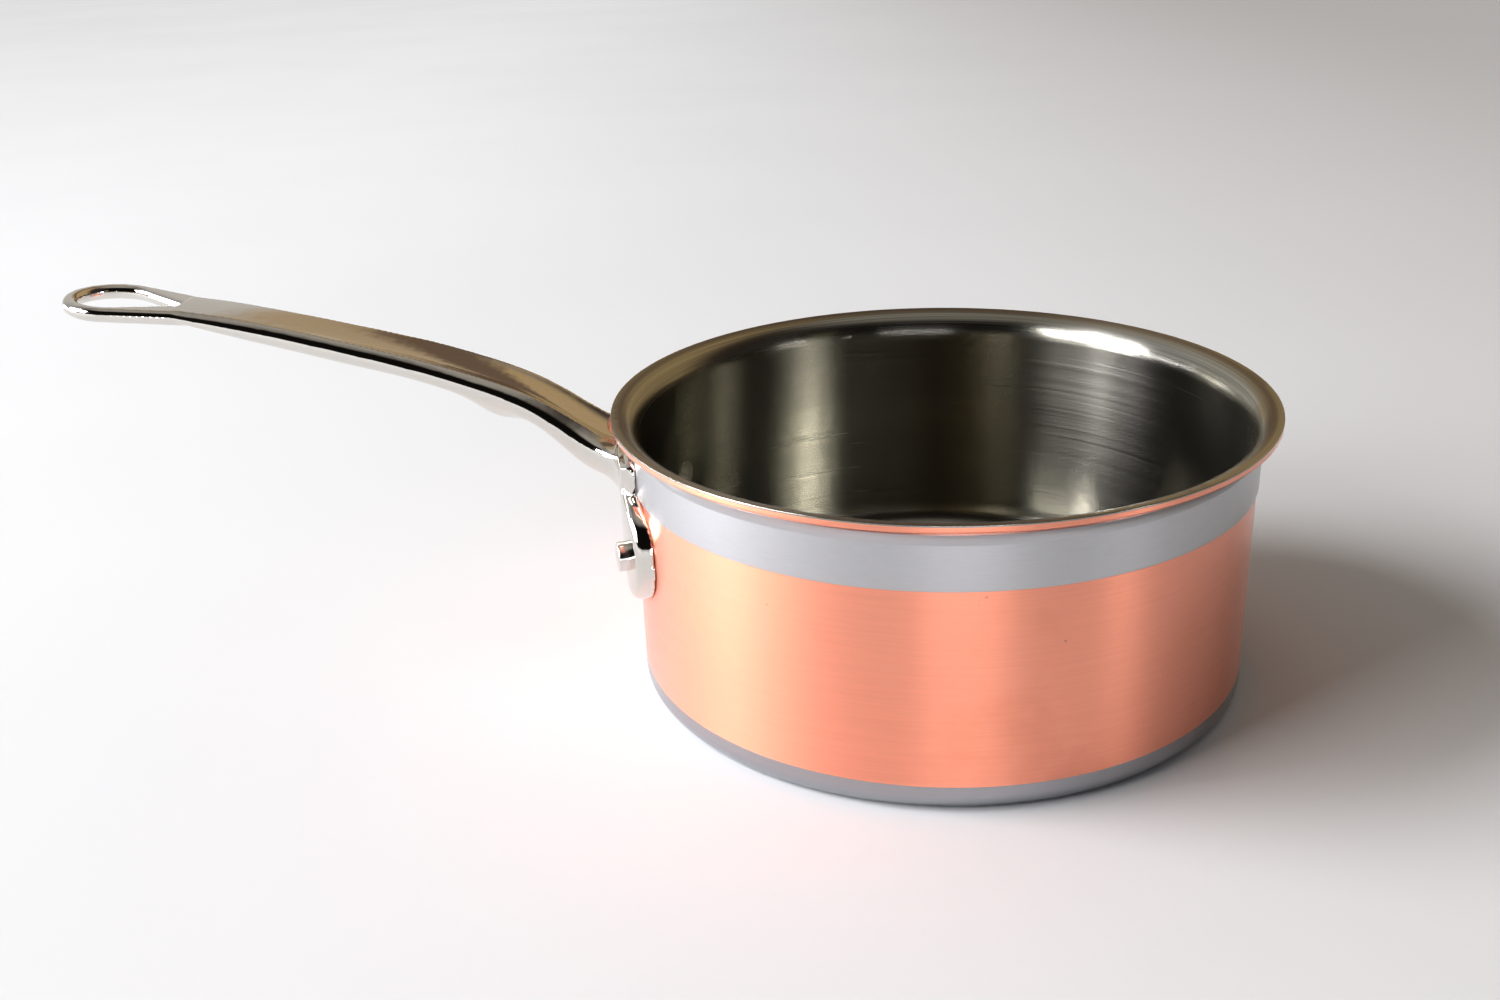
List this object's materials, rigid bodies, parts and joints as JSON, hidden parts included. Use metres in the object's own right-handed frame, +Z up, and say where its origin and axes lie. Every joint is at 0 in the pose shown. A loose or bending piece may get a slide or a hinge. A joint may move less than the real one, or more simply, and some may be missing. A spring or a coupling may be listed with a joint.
{
  "type": "saucepan",
  "caption": "Straight-sided clad saucepan with a copper outside, a steel band under a flared pouring lip, a steel base and a riveted cast handle with a hanging eye.",
  "frame": {"origin": "centre of the base's flat underside, on the pan's axis and at the height of the surface that it stands on", "axes": "+Z up along the pan's axis, the handle runs out along -X, +Y across the handle"},
  "size_m": [0.4169, 0.221, 0.1329],
  "materials": {
    "liner_steel": "fine circumferential brushing, satin",
    "core_aluminium": "plain rolled, hidden inside",
    "copper": "copper, fine satin polish with faint marks",
    "band_steel": "fine satin, bead blasted look",
    "base_steel": "satin with turned rings underneath",
    "handle_steel": "mirror polished cast stainless steel",
    "rivet_steel": "polished stainless steel"
  },
  "bodies": {
    "root": {"inner_liner": "liner_steel", "aluminium_core": "core_aluminium", "copper_shell": "copper", "rim_band": "band_steel", "base_plate": "base_steel", "handle": "handle_steel", "rivet_back": "rivet_steel", "rivet_front": "rivet_steel"}
  },
  "joints": []
}
